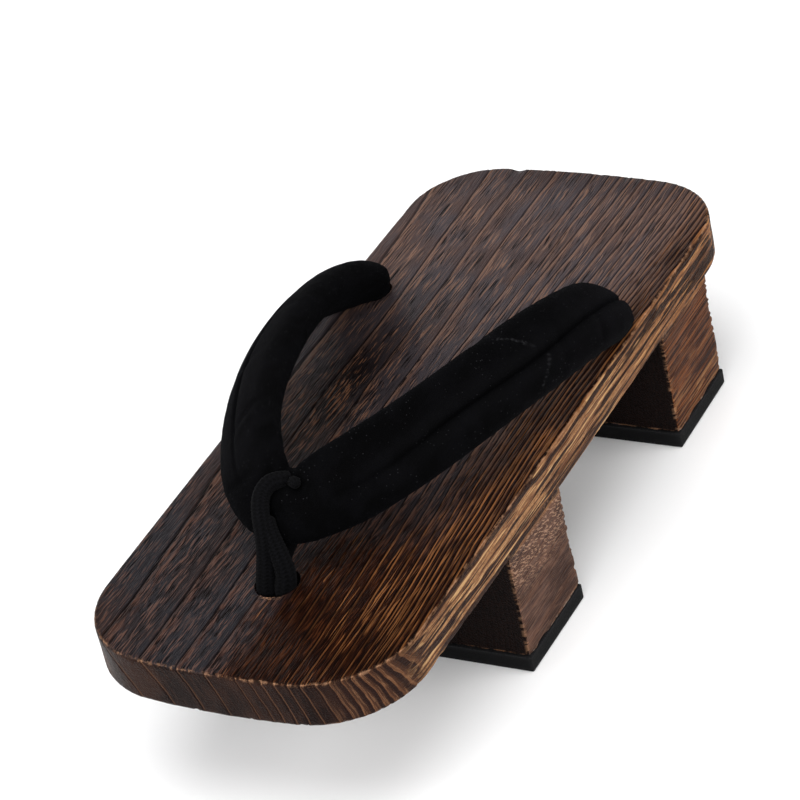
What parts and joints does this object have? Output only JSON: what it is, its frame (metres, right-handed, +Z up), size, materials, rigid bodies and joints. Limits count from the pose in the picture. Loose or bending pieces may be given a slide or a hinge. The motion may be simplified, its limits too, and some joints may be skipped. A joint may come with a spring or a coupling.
{
  "type": "geta sandal",
  "caption": "Wooden platform sandal with crosswise teeth under the board, rubber tooth pads and a padded velvet thong strap.",
  "frame": {"origin": "on the floor, under the middle of the sandal's length and width", "axes": "+Z up, -Y towards the toe, +Y towards the heel, +X towards the wearer's left"},
  "size_m": [0.1114, 0.27, 0.0901],
  "materials": {
    "burnt_wood": "scorched and wire-brushed paulownia, satin",
    "tooth_rubber": "matte black sheet rubber",
    "velvet": "black cotton velvet over a soft core",
    "tie_cord": "black ribbed woven cord"
  },
  "bodies": {
    "root": {"dai": "burnt_wood", "front_pad": "tooth_rubber", "rear_pad": "tooth_rubber", "hanao": "velvet", "front_tie": "tie_cord"}
  },
  "joints": []
}
